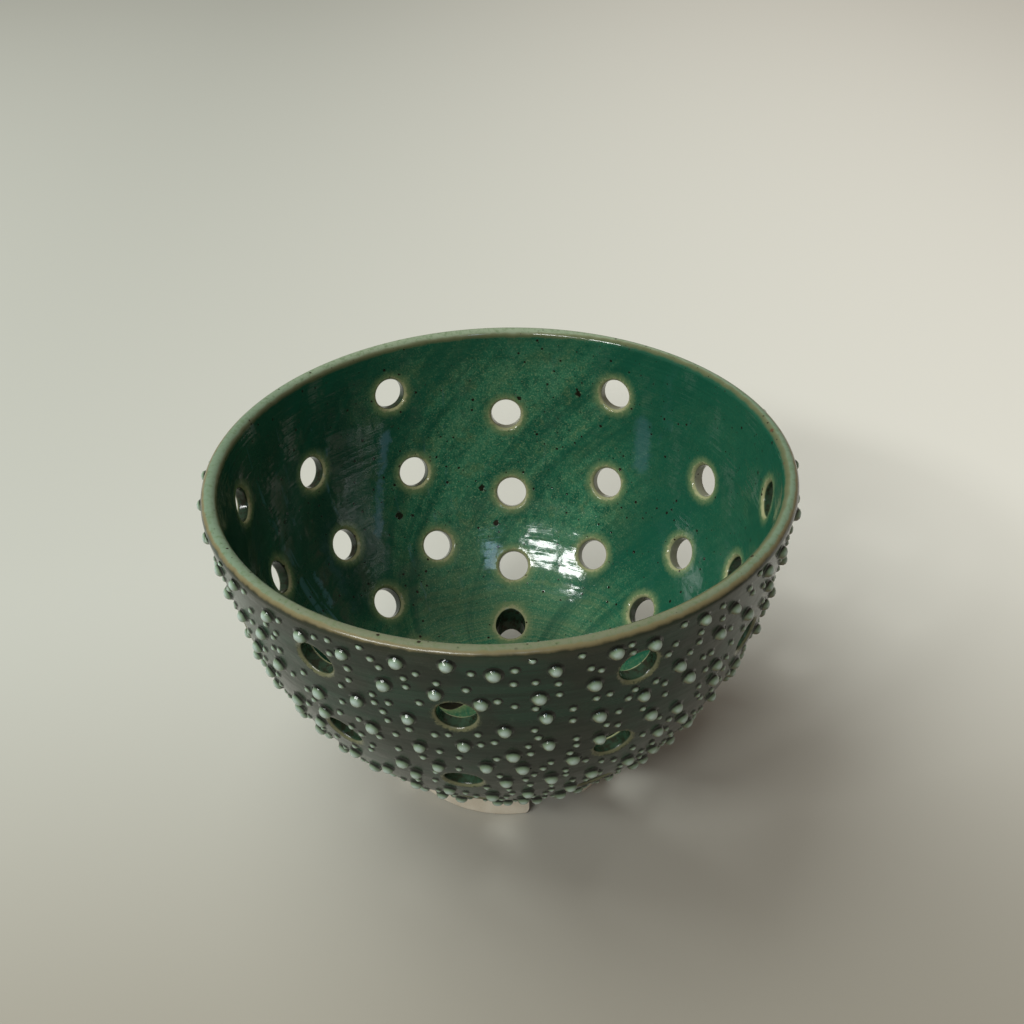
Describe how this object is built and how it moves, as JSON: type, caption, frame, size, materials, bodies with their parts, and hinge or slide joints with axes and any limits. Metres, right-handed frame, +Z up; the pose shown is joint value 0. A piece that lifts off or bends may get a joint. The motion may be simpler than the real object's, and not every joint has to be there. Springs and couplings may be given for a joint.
{
  "type": "berry colander bowl",
  "caption": "Round footed drainer bowl with a flared lip, drilled drain holes down its wall, a notched foot ring and rows of raised dots outside, for rinsing and serving berries.",
  "frame": {"origin": "on the table, under the middle of the bowl", "axes": "+Z up along the bowl's axis, +Y away from the viewer of the picture"},
  "size_m": [0.1579, 0.1565, 0.1],
  "materials": {
    "bowl_glaze": "glossy mottled green glaze over stoneware",
    "bare_clay": "unglazed fired clay, matt",
    "large_dot_glaze": "glossy glaze, pale where it breaks over the slip",
    "small_dot_glaze": "glossy glaze, pale where it breaks over the slip"
  },
  "bodies": {
    "root": {"bowl_wall": "bowl_glaze", "foot_front_left": "bare_clay", "foot_right": "bare_clay", "foot_rear_left": "bare_clay", "large_dots_row_1": "large_dot_glaze", "large_dots_row_2": "large_dot_glaze", "large_dots_row_3": "large_dot_glaze", "large_dots_row_4": "large_dot_glaze", "large_dots_row_5": "large_dot_glaze", "large_dots_row_6": "large_dot_glaze", "large_dots_row_7": "large_dot_glaze", "large_dots_row_8": "large_dot_glaze", "large_dots_row_9": "large_dot_glaze", "large_dots_row_10": "large_dot_glaze", "small_dots_row_1": "small_dot_glaze", "small_dots_row_2": "small_dot_glaze", "small_dots_row_3": "small_dot_glaze", "small_dots_row_4": "small_dot_glaze", "small_dots_row_5": "small_dot_glaze", "small_dots_row_6": "small_dot_glaze", "small_dots_row_7": "small_dot_glaze", "small_dots_row_8": "small_dot_glaze", "small_dots_row_9": "small_dot_glaze", "small_dots_row_10": "small_dot_glaze"}
  },
  "joints": []
}
